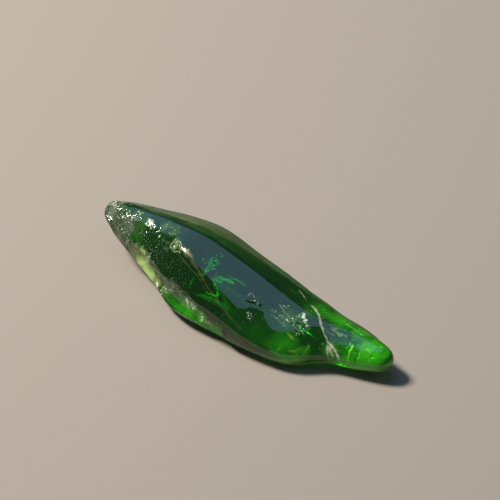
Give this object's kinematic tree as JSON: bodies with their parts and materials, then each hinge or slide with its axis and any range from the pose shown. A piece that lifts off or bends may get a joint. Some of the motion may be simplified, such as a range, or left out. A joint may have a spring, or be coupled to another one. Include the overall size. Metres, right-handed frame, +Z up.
{
  "type": "rough chrome diopside crystal",
  "caption": "Long worn gem crystal of clear dark green: blunt pitted tip, ridged body with a wide top face and a shell-shaped side chip, narrow neck and round knob. Rests on a worn flat.",
  "frame": {"origin": "centre of the bounding box in X and Y, on the floor it rests on", "axes": "+X runs along the crystal towards the round knob, +Z is up, and -Y is the side with the long chip"},
  "size_m": [0.024, 0.0063, 0.0052],
  "materials": {
    "crystal": "polished by wear, with frosted breaks and pits"
  },
  "bodies": {
    "root": {"crystal": "crystal"}
  },
  "joints": []
}
